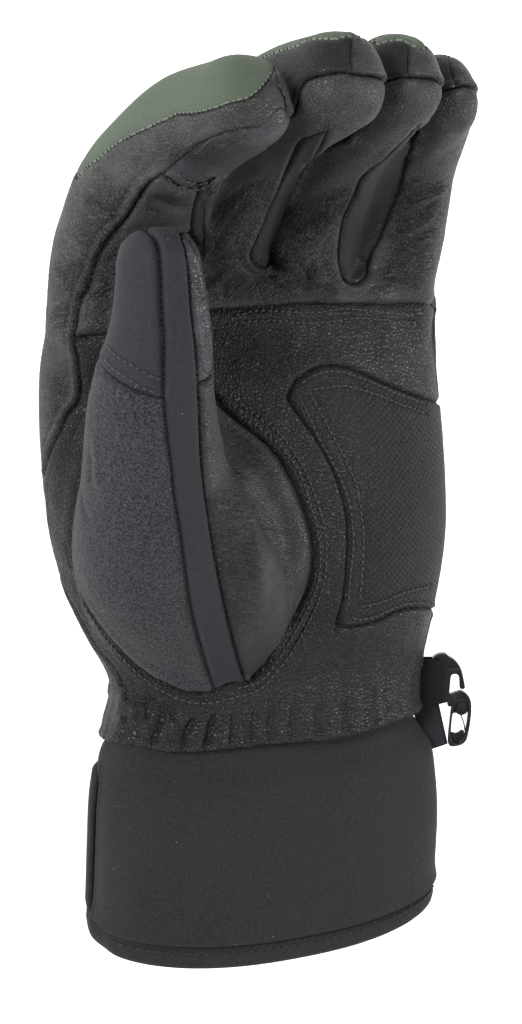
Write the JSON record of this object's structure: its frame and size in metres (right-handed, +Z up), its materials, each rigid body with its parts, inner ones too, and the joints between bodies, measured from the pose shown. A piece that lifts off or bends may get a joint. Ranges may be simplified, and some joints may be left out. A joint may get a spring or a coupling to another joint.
{
  "type": "waterproof winter glove",
  "caption": "Left-hand winter glove with leather palm, softshell back, wipe thumb, short neoprene cuff and a small wrist clip, palm up.",
  "frame": {"origin": "middle of the glove's outline seen from above, on the surface the back of the hand rests on", "axes": "+Y from the cuff to the fingertips, +Z up out of the palm, +X towards the little finger"},
  "size_m": [0.1371, 0.259, 0.1041],
  "materials": {
    "leather": "fine grained black leather with soft sheen",
    "touch_leather": "smooth blue-black touch leather",
    "palm_leather": "embossed black leather",
    "softshell": "matte grey-green softshell",
    "dark_shell": "matte blue-grey softshell",
    "fleece": "short grey fleece",
    "neoprene": "smooth charcoal neoprene with knit face",
    "plastic": "black moulded plastic, satin gloss",
    "webbing": "black woven webbing",
    "label": "mauve-grey folded woven label, plain"
  },
  "bodies": {
    "root": {"clip": "plastic", "clip_webbing": "webbing", "cuff": "neoprene", "cuff_binding": "neoprene", "cuff_hem": "neoprene", "hand_back": "softshell", "hand_edge": "leather", "heel_patch": "palm_leather", "index_back": "softshell", "index_palm": "leather", "index_side_far": "leather", "index_side_near": "leather", "index_tip": "leather", "index_touch_pad": "touch_leather", "little_back": "softshell", "little_palm": "leather", "little_side_far": "leather", "little_side_near": "leather", "little_tip": "leather", "middle_back": "softshell", "middle_palm": "leather", "middle_side_far": "leather", "middle_side_near": "leather", "middle_tip": "leather", "palm_leather": "leather", "palm_patch": "palm_leather", "ring_back": "softshell", "ring_palm": "leather", "ring_side_far": "leather", "ring_side_near": "leather", "ring_tip": "leather", "tag": "label", "thumb_edge": "touch_leather", "thumb_inner": "leather", "thumb_strip": "dark_shell", "thumb_tip": "dark_shell", "thumb_wipe": "fleece", "wrist_gather": "palm_leather"}
  },
  "joints": []
}
